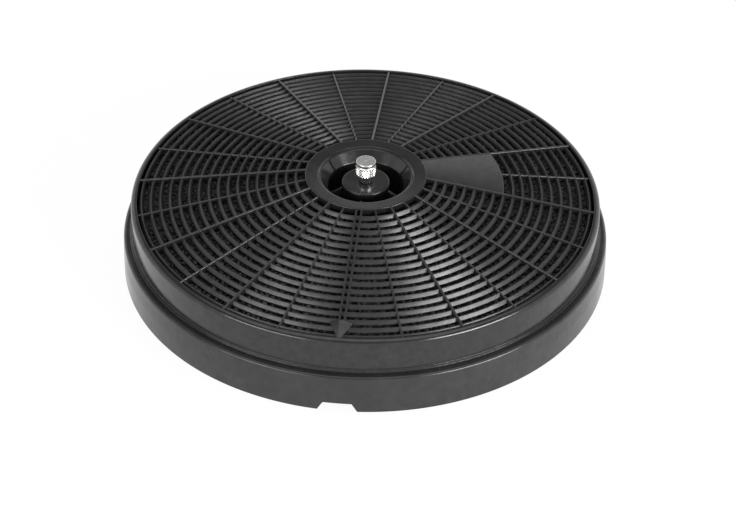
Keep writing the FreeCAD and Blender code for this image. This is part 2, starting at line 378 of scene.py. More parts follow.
def makeObject(name, vertices, faces):
    mesh = bpy.data.meshes.new(name)
    mesh.from_pydata(vertices, [], faces)
    made = bpy.data.objects.new(name, mesh)
    scene.collection.objects.link(made)
    return made


def evenAngles(count):
    return [360 * i / count for i in range(count)]


def turnedPiece(name, corners, angles, steps=5, lift=None):
    # Full turn about the axis, with a station at each angle
    section = roundedOutline(corners, steps)
    vertices = []
    for radius, height in section:
        for angle in angles:
            a = radians(angle)
            rise = lift(radius, height, angle) if lift else 0
            vertices.append((radius * cos(a) * mm, radius * sin(a) * mm, (height + rise) * mm))
    faces = []
    count = len(angles)
    for i in range(len(section)):
        near = i * count
        far = (i + 1) % len(section) * count
        for j in range(count):
            k = (j + 1) % count
            faces.append([near + j, near + k, far + k, far + j])
    return makeObject(name, vertices, faces)


def sectorPiece(name, corners, start, sweep, segments, steps=4):
    # Part turn about the axis, with its two ends closed
    section = roundedOutline(corners, steps)
    vertices = []
    for j in range(segments + 1):
        a = radians(start + sweep * j / segments)
        vertices += [(r * cos(a) * mm, r * sin(a) * mm, z * mm) for r, z in section]
    count = len(section)
    faces = [list(range(count)), list(range(segments * count, (segments + 1) * count))[::-1]]
    for j in range(segments):
        for i in range(count):
            k = (i + 1) % count
            base = j * count
            faces.append([base + i, base + count + i, base + count + k, base + k])
    return makeObject(name, vertices, faces)


def uprightPiece(name, corners, thick, azimuth, rounding):
    # Flat plate that stands along a radius, its edges broken
    half = thick / 2 * mm
    count = len(corners)
    vertices = [(x * mm, side, z * mm) for side in (-half, half) for x, z in corners]
    faces = [list(range(count))[::-1], list(range(count, 2 * count))]
    for i in range(count):
        k = (i + 1) % count
        faces.append([i, k, count + k, count + i])
    made = makeObject(name, vertices, faces)
    shape = bmesh.new()
    shape.from_mesh(made.data)
    bmesh.ops.bevel(shape, geom=shape.edges[:], offset=rounding * mm, segments=2,
                    affect="EDGES", profile=0.5)
    shape.to_mesh(made.data)
    shape.free()
    made.data.transform(Matrix.Rotation(radians(azimuth), 4, "Z"))
    return made


def joinPieces(name, parts):
    shape = bmesh.new()
    for part in parts:
        shape.from_mesh(part.data)
        bpy.data.objects.remove(part)
    joined = makeObject(name, [], [])
    shape.to_mesh(joined.data)
    shape.free()
    return joined


# Angles from which an edge shades as an edge, by how a piece is rounded
softSharp = 40
crumbSharp = 20
flatSharp = 12
metalSharp = 35


def dress(piece, material, body, slot, *nodes, sharp=softSharp):
    # Faces outwards, smooth but for real edges, in its material and on its body
    shape = bmesh.new()
    shape.from_mesh(piece.data)
    bmesh.ops.remove_doubles(shape, verts=shape.verts[:], dist=0.001 * mm)
    bmesh.ops.recalc_face_normals(shape, faces=shape.faces[:])
    shape.to_mesh(piece.data)
    shape.free()
    for face in piece.data.polygons:
        face.use_smooth = True
    piece.data.set_sharp_from_angle(angle=radians(sharp))
    piece.data.materials.clear()
    piece.data.materials.append(material)
    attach(piece, body)
    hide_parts(*nodes)
    triangles = sum(len(face.vertices) - 2 for face in piece.data.polygons)
    print("  ", piece.name, triangles, "triangles")


def startTree(name, sockets):
    tree = bpy.data.node_groups.new(name, "GeometryNodeTree")
    for title, kind in sockets.items():
        tree.interface.new_socket(name=title, in_out="INPUT", socket_type="NodeSocket" + kind)
    tree.interface.new_socket(name="Geometry", in_out="OUTPUT", socket_type="NodeSocketGeometry")
    return tree, addNode(tree, "NodeGroupInput").outputs


def endTree(tree, geometry, material):
    real = addNode(tree, "GeometryNodeRealizeInstances", {0: geometry})
    coloured = addNode(tree, "GeometryNodeSetMaterial", {"Geometry": real.outputs[0],
                       "Material": material})
    addNode(tree, "NodeGroupOutput", {"Geometry": coloured.outputs[0]})


def growPiece(name, tree, values, source=None):
    # Runs a node tree once and keeps its result as a plain mesh
    mesh = source.data.copy() if source else bpy.data.meshes.new(name + "Seed")
    seed = bpy.data.objects.new(name + "Seed", mesh)
    scene.collection.objects.link(seed)
    modifier = seed.modifiers.new("grow", "NODES")
    modifier.node_group = tree
    for item in tree.interface.items_tree:
        if item.in_out == "INPUT" and item.name in values:
            modifier[item.identifier] = values[item.name]
    ready = seed.evaluated_get(bpy.context.evaluated_depsgraph_get())
    grown = bpy.data.objects.new(name, bpy.data.meshes.new_from_object(ready))
    scene.collection.objects.link(grown)
    bpy.data.objects.remove(seed)
    return grown


# Section that slats, rings and ribs share: a wedge that stands on its foot, its top at the line
def wedgeSection(tree, inputs):
    wedge = addNode(tree, "GeometryNodeCurvePrimitiveQuadrilateral", {
        "Height": inputs["Depth"], "Bottom Width": inputs["Top width"],
        "Top Width": inputs["Foot width"], "Offset": 0.0}, mode="TRAPEZOID")
    half = addNode(tree, "ShaderNodeMath", {0: inputs["Depth"], 1: 0.5}, operation="MULTIPLY")
    drop = addNode(tree, "ShaderNodeCombineXYZ", {"Y": half.outputs[0]})
    moved = addNode(tree, "GeometryNodeTransform", {"Geometry": wedge.outputs[0],
                    "Translation": drop.outputs[0]})
    return addNode(tree, "GeometryNodeFilletCurve", {"Curve": moved.outputs[0], "Count": 3,
                   "Radius": inputs["Edge"]}, mode="POLY")


def sweepSection(tree, inputs, line):
    level = addNode(tree, "GeometryNodeSetCurveNormal", {"Curve": line}, mode="Z_UP")
    section = wedgeSection(tree, inputs)
    return addNode(tree, "GeometryNodeCurveToMesh", {"Curve": level.outputs[0],
                   "Profile Curve": section.outputs[0], "Fill Caps": True})


def ringTree():
    # Rings on a cone, one pitch apart; those inside the plate's reach are open where it lies
    tree, inputs = startTree("ringTree", {
        "Count": "Int", "First radius": "Float", "Pitch": "Float", "First height": "Float",
        "Slope": "Float", "Top width": "Float", "Foot width": "Float", "Depth": "Float",
        "Edge": "Float", "Open within": "Float", "Open to": "Float", "Sweep": "Float",
        "Resolution": "Int", "Material": "Material"})
    index = addNode(tree, "GeometryNodeInputIndex")
    out = addNode(tree, "ShaderNodeMath", {0: index.outputs[0], 1: inputs["Pitch"]},
                  operation="MULTIPLY")
    radius = addNode(tree, "ShaderNodeMath", {0: out.outputs[0], 1: inputs["First radius"]},
                     operation="ADD")
    height = addNode(tree, "ShaderNodeMath", {0: out.outputs[0], 1: inputs["Slope"],
                     2: inputs["First height"]}, operation="MULTIPLY_ADD")
    place = addNode(tree, "ShaderNodeCombineXYZ", {"Z": height.outputs[0]})
    size = addNode(tree, "ShaderNodeCombineXYZ", {"X": radius.outputs[0],
                   "Y": radius.outputs[0], "Z": 1.0})
    centres = addNode(tree, "GeometryNodePoints", {"Count": inputs["Count"],
                      "Position": place.outputs[0]})
    isOpen = addNode(tree, "FunctionNodeCompare", {0: radius.outputs[0],
                     1: inputs["Open within"]}, data_type="FLOAT", operation="LESS_THAN")
    isWhole = addNode(tree, "FunctionNodeBooleanMath", {0: isOpen.outputs[0]}, operation="NOT")
    whole = addNode(tree, "GeometryNodeCurvePrimitiveCircle", {
        "Resolution": inputs["Resolution"], "Radius": 1.0}, mode="RADIUS")
    opened = addNode(tree, "GeometryNodeCurveArc", {
        "Resolution": inputs["Resolution"], "Radius": 1.0, "Start Angle": inputs["Open to"],
        "Sweep Angle": inputs["Sweep"]}, mode="RADIUS")
    lines = addNode(tree, "GeometryNodeJoinGeometry")
    for line, chosen in ((whole, isWhole), (opened, isOpen)):
        laid = addNode(tree, "GeometryNodeInstanceOnPoints", {
            "Points": centres.outputs[0], "Selection": chosen.outputs[0],
            "Instance": line.outputs[0], "Scale": size.outputs[0]})
        tree.links.new(laid.outputs[0], lines.inputs[0])
    drawn = addNode(tree, "GeometryNodeRealizeInstances", {0: lines.outputs[0]})
    swept = sweepSection(tree, inputs, drawn.outputs[0])
    endTree(tree, swept.outputs[0], inputs["Material"])
    return tree


def ribTree():
    # Straight ribs from one radius to another, a step apart round the axis
    tree, inputs = startTree("ribTree", {
        "Count": "Int", "First azimuth": "Float", "Step": "Float", "Skipped": "Int",
        "Start radius": "Float", "Start height": "Float", "End radius": "Float",
        "End height": "Float", "Aside": "Float", "Top width": "Float", "Foot width": "Float",
        "Depth": "Float", "Edge": "Float", "Material": "Material"})
    start = addNode(tree, "ShaderNodeCombineXYZ", {"X": inputs["Start radius"],
                    "Y": inputs["Aside"], "Z": inputs["Start height"]})
    end = addNode(tree, "ShaderNodeCombineXYZ", {"X": inputs["End radius"],
                  "Y": inputs["Aside"], "Z": inputs["End height"]})
    line = addNode(tree, "GeometryNodeCurvePrimitiveLine", {"Start": start.outputs[0],
                   "End": end.outputs[0]}, mode="POINTS")
    swept = sweepSection(tree, inputs, line.outputs[0])
    index = addNode(tree, "GeometryNodeInputIndex")
    azimuth = addNode(tree, "ShaderNodeMath", {0: index.outputs[0], 1: inputs["Step"],
                      2: inputs["First azimuth"]}, operation="MULTIPLY_ADD")
    turn = addNode(tree, "ShaderNodeCombineXYZ", {"Z": azimuth.outputs[0]})
    kept = addNode(tree, "FunctionNodeCompare", {"A": index.outputs[0],
                   "B": inputs["Skipped"]}, data_type="INT", operation="NOT_EQUAL")
    axisPoints = addNode(tree, "GeometryNodePoints", {"Count": inputs["Count"]})
    laid = addNode(tree, "GeometryNodeInstanceOnPoints", {
        "Points": axisPoints.outputs[0], "Selection": kept.outputs[0],
        "Instance": swept.outputs[0], "Rotation": turn.outputs[0]})
    endTree(tree, laid.outputs[0], inputs["Material"])
    return tree


rings = ringTree()
ribs = ribTree()

# Cover: rim, upper wall and the bead at its foot
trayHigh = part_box("base_tray")[1] / mm
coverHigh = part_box("grille_cover")[1] / mm
cover = {
    "angles": evenAngles(360),
    "beadRadius": coverHigh.x,
    "beadOut": 1.1,
    "wall": 1.8,
    "foot": 19.4,
    "beadTop": 20.8,
    "beadEdge": 0.25,
    "beadSlopeTop": 21.2,
    "rimHeight": 37.2,
    "rimOpening": 109.3,
    "rimDepth": 3.0,
    "shoulder": 2.5,
    "edge": 0.3,
}


def coverShell():
    c = cover
    wallRadius = c["beadRadius"] - c["beadOut"]
    inside = wallRadius - c["wall"]
    under = c["rimHeight"] - c["rimDepth"]
    return turnedPiece("coverShell", [
        (inside, c["foot"], c["edge"]),
        (c["beadRadius"], c["foot"], c["edge"]),
        (c["beadRadius"], c["beadTop"], c["beadEdge"]),
        (wallRadius, c["beadSlopeTop"], c["edge"]),
        (wallRadius, c["rimHeight"], c["shoulder"]),
        (c["rimOpening"], c["rimHeight"], c["edge"]),
        (c["rimOpening"], under, c["edge"]),
        (inside, under, c["edge"]),
    ], c["angles"], steps=7)


# Cover: hub ring, well and tube
hub = {
    "angles": evenAngles(200),
    "top": coverHigh.z,
    "radius": 29.0,
    "depth": 3.5,
    "edge": 0.45,
    "underEdge": 0.3,
    "bend": 0.5,
    "dish": 0.3,           # the ring's top falls this much towards the well
    "wellRadius": 22.9,
    "wellEdge": 0.6,
    "stepRadius": 21.6,
    "stepDrop": 1.2,
    "stepWidth": 0.5,
    "stepFall": 0.1,
    "stepEdge": 0.25,
    "fineEdge": 0.2,
    "wellFoot": 44.1,
    "tubeInside": 18.2,
    "tubeWall": 1.6,
    "tubeFoot": 9.4,
}


def coverHub():
    h = hub
    outside = h["tubeInside"] + h["tubeWall"]
    under = h["top"] - h["depth"]
    return turnedPiece("coverHub", [
        (outside, h["tubeFoot"], h["fineEdge"]),
        (outside, h["wellFoot"] - h["tubeWall"] / 2, h["bend"]),
        (h["wellRadius"] + h["tubeWall"], under, h["bend"]),
        (h["radius"], under, h["underEdge"]),
        (h["radius"], h["top"], h["edge"]),
        (h["wellRadius"], h["top"] - h["dish"], h["wellEdge"]),
        (h["stepRadius"] + h["stepWidth"], h["top"] - h["stepDrop"], h["stepEdge"]),
        (h["stepRadius"], h["top"] - h["stepDrop"] - h["stepFall"], h["fineEdge"]),
        (h["tubeInside"], h["wellFoot"], h["bend"]),
        (h["tubeInside"], h["tubeFoot"], h["fineEdge"]),
    ], h["angles"], steps=4)


# Cover: the boss that guides the screw, its webs and the fins of the well
boss = {
    "angles": evenAngles(128),
    "radius": 11.6,
    "top": 46.0,
    "edge": 1.0,
    "boreEdge": 0.25,
    "footEdge": 0.3,
    "innerEdge": 0.4,
    "thick": 2.4,
    "skirt": 9.0,
    "wall": 1.6,
    "sleeveRadius": 5.0,
    "sleeveFoot": 13.0,
    "bore": 2.58,
    "webThick": 1.4,
    "webEdge": 0.2,
    "webAzimuths": (90, 195, 345),
    "webFoot": 16.0,
    "webDrop": 2.6,
    "webFall": 3.4,
    "finThick": 0.8,
    "finEdge": 0.15,
    "finHeight": 0.7,
    "finAzimuths": (30, 150, 270),
    "lap": 0.6,
}


def coverBoss():
    b = boss
    under = b["top"] - b["thick"]
    skirtFoot = b["top"] - b["skirt"]
    body = turnedPiece("bossBody", [
        (b["bore"], b["top"], b["boreEdge"]),
        (b["radius"], b["top"], b["edge"]),
        (b["radius"], skirtFoot, b["footEdge"]),
        (b["radius"] - b["wall"], skirtFoot, b["footEdge"]),
        (b["radius"] - b["wall"], under, b["innerEdge"]),
        (b["sleeveRadius"], under, b["innerEdge"]),
        (b["sleeveRadius"], b["sleeveFoot"], b["footEdge"]),
        (b["bore"], b["sleeveFoot"], hub["fineEdge"]),
    ], b["angles"], steps=6)
    webTop = b["top"] - b["webDrop"]
    tube = hub["tubeInside"] + b["lap"]
    webOutline = [(b["sleeveRadius"] - b["lap"], b["webFoot"]), (tube, b["webFoot"]),
                  (tube, webTop - b["webFall"]), (b["radius"] - b["lap"], webTop),
                  (b["sleeveRadius"] - b["lap"], webTop)]
    finTop = hub["top"] - hub["stepDrop"]
    finOutline = [(hub["tubeInside"] - b["finHeight"], hub["wellFoot"]),
                  (hub["tubeInside"] + b["lap"], hub["wellFoot"] - b["lap"]),
                  (hub["stepRadius"] + b["lap"], finTop - b["lap"]),
                  (hub["stepRadius"] - b["finHeight"], finTop)]
    parts = [body]
    for azimuth in b["webAzimuths"]:
        parts.append(uprightPiece("web", webOutline, b["webThick"], azimuth, b["webEdge"]))
    for azimuth in b["finAzimuths"]:
        parts.append(uprightPiece("fin", finOutline, b["finThick"], azimuth, b["finEdge"]))
    return joinPieces("coverBoss", parts)


# Cover: conical grille of slats and ribs
grille = {
    "ribEndDrop": 0.15,    # from the rim's top down to the ends of the ribs
    "ribPairs": 12,
    "ribTop": 1.1,
    "ribFoot": 1.5,
    "ribDepth": 3.2,
    "minorTop": 0.9,
    "plateRibDrop": 0.65,
    "minorDrops": (0.55, 0.4),    # under the main ribs at the hub and at the rim
    "slats": 17,
    "slatRadii": (33.3, 107.2),
    "slatDrops": (0.35, 0.6),
    "slatTop": 0.5,
    "slatFoot": 2.6,
    "slatDepth": 1.75,
    "slatEdge": 0.12,
    "ribEdge": 0.44,
    "lap": 0.6,
    "resolution": 288,
    "plateRadius": 66.0,
    "plateAzimuth": 0.0,
    "plateThick": 1.5,
    "plateDrop": 0.15,
    "plateEdge": 0.3,
    "plateFootEdge": 0.2,
    "plateSegments": 48,
    "arrowAzimuth": 270.0,
    "arrowRibTop": 1.0,
    "arrowRibGap": 1.4,
    "arrowRibDrop": 0.1,
    "arrowWidth": 11.0,
    "arrowLength": 10.0,
    "arrowTip": 1.2,
    "arrowBand": 2.0,      # flat band along the arrow's middle, at its base
    "arrowRidge": 0.4,
    "arrowFall": 0.9,      # from the cone down to the arrow's outer corners
    "arrowThick": 1.8,
    "arrowTipRise": 0.1,
    "arrowEdge": 0.14,
}
ribStep = 360 / grille["ribPairs"]
coneFall = hub["top"] - cover["rimHeight"] + grille["ribEndDrop"]
coneSlope = -coneFall / (cover["rimOpening"] - hub["radius"])


def coneTop(radius):
    return hub["top"] + coneSlope * (radius - hub["radius"])


def coverSlats():
    g = grille
    first, last = g["slatRadii"]
    pitch = (last - first) / (g["slats"] - 1)
    top, low = [coneTop(r) - drop for r, drop in zip(g["slatRadii"], g["slatDrops"])]
    return growPiece("coverSlats", rings, {
        "Count": g["slats"], "First radius": first * mm, "Pitch": pitch * mm,
        "First height": top * mm, "Slope": (low - top) / (last - first),
        "Top width": g["slatTop"] * mm, "Foot width": g["slatFoot"] * mm,
        "Depth": g["slatDepth"] * mm, "Edge": g["slatEdge"] * mm,
        "Open within": g["plateRadius"] * mm,
        "Open to": radians(g["plateAzimuth"] + ribStep), "Sweep": radians(360 - ribStep),
        "Resolution": g["resolution"], "Material": slatPlastic})


def ribRun(name, count, azimuth, width, start, drops=(0, 0), skipped=-1, aside=0):
    g = grille
    end = cover["rimOpening"] + g["lap"]
    return growPiece(name, ribs, {
        "Count": count, "First azimuth": radians(azimuth), "Step": radians(ribStep),
        "Skipped": skipped, "Start radius": start * mm,
        "Start height": (coneTop(start) - drops[0]) * mm, "End radius": end * mm,
        "End height": (coneTop(end) - drops[1]) * mm, "Aside": aside * mm,
        "Top width": width * mm, "Foot width": (width + g["ribFoot"] - g["ribTop"]) * mm,
        "Depth": (g["ribDepth"] - drops[1]) * mm, "Edge": g["ribEdge"] * mm,
        "Material": coverPlastic})


def coverRibs():
    g = grille
    start = hub["radius"] - g["lap"]
    arrowIndex = round((g["arrowAzimuth"] - g["plateAzimuth"]) / ribStep)
    middle = g["plateAzimuth"] + ribStep / 2
    beside = (g["arrowRibTop"] + g["arrowRibGap"]) / 2
    parts = [
        ribRun("mainRibs", g["ribPairs"], g["plateAzimuth"], g["ribTop"], start,
               skipped=arrowIndex),
        ribRun("minorRibs", g["ribPairs"], middle, g["minorTop"], start,
               drops=g["minorDrops"], skipped=0),
        ribRun("plateRib", 1, middle, g["minorTop"], g["plateRadius"] - g["lap"],
               drops=(g["plateRibDrop"], g["minorDrops"][1])),
    ]
    for aside in (-beside, beside):
        parts.append(ribRun("arrowRib", 1, g["arrowAzimuth"], g["arrowRibTop"], start,
                            drops=(0, g["arrowRibDrop"]), aside=aside))
    return joinPieces("coverRibs", parts)


def barePlate():
    g = grille
    start = hub["radius"] - g["lap"]
    top = [coneTop(r) - g["plateDrop"] for r in (start, g["plateRadius"])]
    return sectorPiece("barePlate", [
        (start, top[0] - g["plateThick"]),
        (g["plateRadius"], top[1] - g["plateThick"], g["plateFootEdge"]),
        (g["plateRadius"], top[1], g["plateEdge"]),
        (start, top[0]),
    ], g["plateAzimuth"], ribStep, g["plateSegments"])


def coverArrow():
    # Arrow head whose sides fall away from a flat band along its middle
    g = grille
    tip = cover["rimOpening"] + g["lap"]
    base = cover["rimOpening"] - g["arrowLength"]
    half = g["arrowWidth"] / 2
    stub = g["arrowTip"] / 2
    band = g["arrowBand"] / 2
    plan = [(tip, -stub), (tip, stub), (base, half), (base, band), (base, -band), (base, -half)]
    side = -g["arrowFall"]
    rise = [g["arrowTipRise"], g["arrowTipRise"], side, g["arrowRidge"], g["arrowRidge"], side]
    vertices = [(r * mm, s * mm, (coneTop(r) + up) * mm) for (r, s), up in zip(plan, rise)]
    vertices += [(r * mm, s * mm, (coneTop(r) - g["arrowThick"]) * mm) for r, s in plan]
    faces = [(0, 1, 3, 4), (1, 2, 3), (0, 4, 5), (7, 6, 10, 9), (8, 7, 9), (10, 6, 11)]
    faces += [(i, i + 6, (i + 1) % 6 + 6, (i + 1) % 6) for i in range(6)]
    made = makeObject("coverArrow", vertices, faces)
    shape = bmesh.new()
    shape.from_mesh(made.data)
    bmesh.ops.recalc_face_normals(shape, faces=shape.faces[:])
    bmesh.ops.bevel(shape, geom=shape.edges[:], offset=g["arrowEdge"] * mm, segments=2,
                    affect="EDGES", profile=0.5)
    shape.to_mesh(made.data)
    shape.free()
    made.data.transform(Matrix.Rotation(radians(g["arrowAzimuth"]), 4, "Z"))
    return made


for make, plastic, sharp in ((coverShell, coverPlastic, softSharp),
                             (coverHub, coverPlastic, softSharp),
                             (coverBoss, coverPlastic, softSharp),
                             (coverSlats, slatPlastic, flatSharp),
                             (coverRibs, coverPlastic, softSharp),
                             (barePlate, coverPlastic, softSharp),
                             (coverArrow, coverPlastic, flatSharp)):
    dress(make(), plastic, "filter", "black_moulding", "grille_cover", sharp=sharp)
print("cover made")

# Tray: skirt with its notch, ledge, chamber wall and the floor's hub
tray = {
    "angles": evenAngles(360),
    "skirtRadius": trayHigh.x,
    "skirtWall": 2.1,
    "shoulder": 1.5,
    "bandFoot": 10.4,      # the skirt leans in a little above this height
    "bandLean": 0.35,
    "bandEdge": 2.0,
    "ledge": 19.4,
    "ledgeThick": 2.2,
    "ledgeFillet": 0.2,
    "underEdge": 0.5,
    "spigotHeight": 6.0,
    "spigotRadius": 110.3,
    "chamberWall": 1.8,
    "recess": 7.0,
    "floorThick": 2.4,
    "floorBorder": 3.0,
    "hubAngles": evenAngles(160),
    "hubRadius": 25.0,
    "hubEdge": 0.3,
    "hubHole": 8.0,
    "collarInside": 19.9,
    "collarOutside": 21.5,
    "collarHeight": 4.4,
    "edge": 0.4,
    "notchFoot": 18.4,
    "notchTop": 13.2,
    "notchHeight": 4.4,
    "notchRound": 0.9,
    "footBand": 1.0,       # points up to this height are the foot's own
    "notchReach": 0.6,     # of the notch's foot, each way, that has stations close together
    "notchStations": 120,
}


def notchLift(radius, height, angle):
    # How far the notch under the arrow raises the points of the skirt's foot
    t = tray
    off = (angle - grille["arrowAzimuth"] + 180) % 360 - 180
    if height > t["footBand"] or radius < t["spigotRadius"] or abs(off) > 90:
        return 0
    aside = abs(t["skirtRadius"] * sin(radians(off)))
    flank = (t["notchFoot"] - t["notchTop"]) / 2
    share = (t["notchFoot"] / 2 - aside) / flank
    soft = t["notchRound"] / t["notchHeight"] / 2
    if share <= -soft:
        return 0
    if share >= 1 + soft:
        return t["notchHeight"]
    if share < soft:
        share = (share + soft) ** 2 / (4 * soft)
    elif share > 1 - soft:
        share = 1 - (1 + soft - share) ** 2 / (4 * soft)
    return t["notchHeight"] * share


def trayShell():
    t = tray
    inside = t["skirtRadius"] - t["skirtWall"]
    floorTop = t["recess"] + t["floorThick"]
    chamber = t["spigotRadius"] - t["chamberWall"]
    spigotTop = t["ledge"] + t["spigotHeight"]
    reach = t["notchFoot"] / t["skirtRadius"] * 180 / pi * t["notchReach"]
    angles = [a for a in t["angles"] if abs(a - grille["arrowAzimuth"]) > reach]
    dense = [grille["arrowAzimuth"] - reach + 2 * reach * i / t["notchStations"]
             for i in range(t["notchStations"] + 1)]
    return turnedPiece("trayShell", [
        (inside, 0, t["edge"]),
        (t["skirtRadius"], 0, t["edge"]),
        (t["skirtRadius"], t["bandFoot"], t["bandEdge"]),
        (t["skirtRadius"] - t["bandLean"], t["ledge"], t["shoulder"]),
        (t["spigotRadius"], t["ledge"], t["ledgeFillet"]),
        (t["spigotRadius"], spigotTop, t["edge"]),
        (chamber, spigotTop, t["edge"]),
        (chamber, floorTop, t["edge"]),
        (chamber - t["floorBorder"], floorTop, t["edge"]),
        (chamber - t["floorBorder"], t["recess"], t["edge"]),
        (t["spigotRadius"], t["recess"], t["edge"]),
        (t["spigotRadius"], t["ledge"] - t["ledgeThick"], t["underEdge"]),
        (inside, t["ledge"] - t["ledgeThick"], t["underEdge"]),
    ], sorted(angles + dense), lift=notchLift)


def trayHub():
    t = tray
    floorTop = t["recess"] + t["floorThick"]
    collarTop = floorTop + t["collarHeight"]
    return turnedPiece("trayHub", [
        (t["hubHole"], t["recess"], t["hubEdge"]),
        (t["hubRadius"], t["recess"], t["edge"]),
        (t["hubRadius"], floorTop, t["hubEdge"]),
        (t["collarOutside"], floorTop, t["hubEdge"]),
        (t["collarOutside"], collarTop, t["hubEdge"]),
        (t["collarInside"], collarTop, t["hubEdge"]),
        (t["collarInside"], floorTop, t["hubEdge"]),
        (t["hubHole"], floorTop, t["hubEdge"]),
    ], t["hubAngles"], steps=4)


# Tray: motor-side grille
motorSide = {
    "ribs": 12,
    "rings": 5,
    "ribThick": 1.6,
    "ringThick": 2.0,
    "edge": 0.35,
    "lap": 0.6,
    "resolution": 240,
}


def motorGrille():
    m = motorSide
    t = tray
    top = t["recess"] + t["floorThick"]
    outside = t["spigotRadius"] - t["chamberWall"] - t["floorBorder"]
    pitch = (outside - t["hubRadius"] + m["ringThick"]) / (m["rings"] + 1)
    shared = {"Depth": t["floorThick"] * mm, "Edge": m["edge"] * mm, "Material": trayPlastic}
    ringsMade = growPiece("motorRings", rings, shared | {
        "Count": m["rings"], "First radius": (t["hubRadius"] - m["ringThick"] / 2 + pitch) * mm,
        "Pitch": pitch * mm, "First height": top * mm, "Slope": 0.0,
        "Top width": m["ringThick"] * mm, "Foot width": m["ringThick"] * mm,
        "Open within": 0.0, "Resolution": m["resolution"]})
    ribsMade = growPiece("motorRibs", ribs, shared | {
        "Count": m["ribs"], "First azimuth": 0.0, "Step": radians(360 / m["ribs"]),
        "Skipped": -1, "Start radius": (t["hubRadius"] - m["lap"]) * mm,
        "Start height": top * mm, "End radius": (outside + m["lap"]) * mm,
        "End height": top * mm, "Aside": 0.0, "Top width": m["ribThick"] * mm,
        "Foot width": m["ribThick"] * mm})
    return joinPieces("motorGrille", [ringsMade, ribsMade])


for make in (trayShell, trayHub, motorGrille):
    dress(make(), trayPlastic, "filter", "black_moulding", "base_tray")
print("tray made")

# Charcoal: a bed with loose granules on the faces that show through the two grilles
bed = {
    "angles": evenAngles(180),
    "gap": 0.2,
    "topDrop": 4.3,        # bed under the cone of the ribs' tops; the granules stand on it
    "lowRise": 1.2,
    "wellGap": 1.0,
    "granuleLift": 0.3,    # from the bed's top, or its foot, up to the granules' middles
    "lowGranuleLift": 0.1,
    "granule": 3.2,
    "spacing": 2.2,
    "lowSpacing": 2.2,
    "surfaceAngles": evenAngles(90),
    "unevenness": 0.35,
    "smallest": (0.7, 0.7, 0.6),
    "largest": (1.2, 1.1, 1.0),
    "density": 9e5,        # to the square metre, more than the spacing lets through
    "seed": 7,
}


def granuleTree():
    # Angular granules scattered over a surface, each turned and sized at random
    tree, inputs = startTree("granuleTree", {
        "Surface": "Geometry", "Spacing": "Float", "Size": "Float", "Unevenness": "Float",
        "Seed": "Int", "Material": "Material"})
    spots = addNode(tree, "GeometryNodeDistributePointsOnFaces", {
        "Mesh": inputs["Surface"], "Distance Min": inputs["Spacing"],
        "Density Max": bed["density"], "Seed": inputs["Seed"]}, distribute_method="POISSON")
    half = addNode(tree, "ShaderNodeMath", {0: inputs["Size"], 1: 0.5}, operation="MULTIPLY")
    lump = addNode(tree, "GeometryNodeMeshIcoSphere", {"Radius": half.outputs[0],
                   "Subdivisions": 1})
    turn = addNode(tree, "FunctionNodeRandomValue", {"Max": (6.28, 6.28, 6.28),
                   "Seed": inputs["Seed"]}, data_type="FLOAT_VECTOR")
    size = addNode(tree, "FunctionNodeRandomValue", {"Min": bed["smallest"],
                   "Max": bed["largest"], "Seed": inputs["Seed"]}, data_type="FLOAT_VECTOR")
    laid = addNode(tree, "GeometryNodeInstanceOnPoints", {
        "Points": spots.outputs[0], "Instance": lump.outputs[0], "Rotation": turn.outputs[0],
        "Scale": size.outputs[0]})
    real = addNode(tree, "GeometryNodeRealizeInstances", {0: laid.outputs[0]})
    jitter = addNode(tree, "FunctionNodeRandomValue", {"Min": (-1, -1, -1), "Max": (1, 1, 1),
                     "Seed": inputs["Seed"]}, data_type="FLOAT_VECTOR")
    reach = addNode(tree, "ShaderNodeVectorMath", {0: jitter.outputs[0],
                    "Scale": inputs["Unevenness"]}, operation="SCALE")
    knocked = addNode(tree, "GeometryNodeSetPosition", {"Geometry": real.outputs[0],
                      "Offset": reach.outputs[0]})
    endTree(tree, knocked.outputs[0], inputs["Material"])
    return tree


def bedPiece():
    b = bed
    inside = tray["collarOutside"] + b["gap"]
    outside = tray["spigotRadius"] - tray["chamberWall"] - b["gap"]
    low = tray["recess"] + tray["floorThick"] + b["lowRise"]
    return turnedPiece("charcoalBed", [
        (inside, low),
        (outside, low),
        (outside, coneTop(outside) - b["topDrop"]),
        (hub["radius"], coneTop(hub["radius"]) - b["topDrop"]),
        (inside, hub["wellFoot"] - hub["tubeWall"] - b["wellGap"]),
    ], b["angles"], steps=1)


def granules(name, low, high, spacing, seed):
    # A bare surface between two (radius, height) points carries the granules
    angles = bed["surfaceAngles"]
    count = len(angles)
    vertices = [(r * cos(radians(t)) * mm, r * sin(radians(t)) * mm, z * mm)
                for r, z in (low, high) for t in angles]
    faces = [(i, (i + 1) % count, count + (i + 1) % count, count + i) for i in range(count)]
    surface = makeObject(name + "Surface", vertices, faces)
    grown = growPiece(name, granulesTree, {
        "Spacing": spacing * mm, "Size": bed["granule"] * mm,
        "Unevenness": bed["unevenness"] * mm, "Seed": seed, "Material": charcoal}, surface)
    bpy.data.objects.remove(surface)
    return grown


granulesTree = granuleTree()
outer = tray["spigotRadius"] - tray["chamberWall"] - bed["granule"] / 2
inner = hub["radius"] + bed["granule"] / 2
lowBed = tray["recess"] + tray["floorThick"] + bed["lowRise"] + bed["lowGranuleLift"]
dress(bedPiece(), charcoal, "filter", "charcoal", "charcoal_bed")
dress(granules("charcoalTop", (inner, coneTop(inner) - bed["topDrop"] + bed["granuleLift"]),
               (outer, coneTop(outer) - bed["topDrop"] + bed["granuleLift"]),
               bed["spacing"], bed["seed"]),
      charcoal, "filter", "charcoal", "charcoal_bed", sharp=crumbSharp)
dress(granules("charcoalFoot", (tray["hubRadius"], lowBed), (outer, lowBed),
               bed["lowSpacing"], bed["seed"] + 1),
      charcoal, "filter", "charcoal", "charcoal_bed", sharp=crumbSharp)
print("charcoal laid")

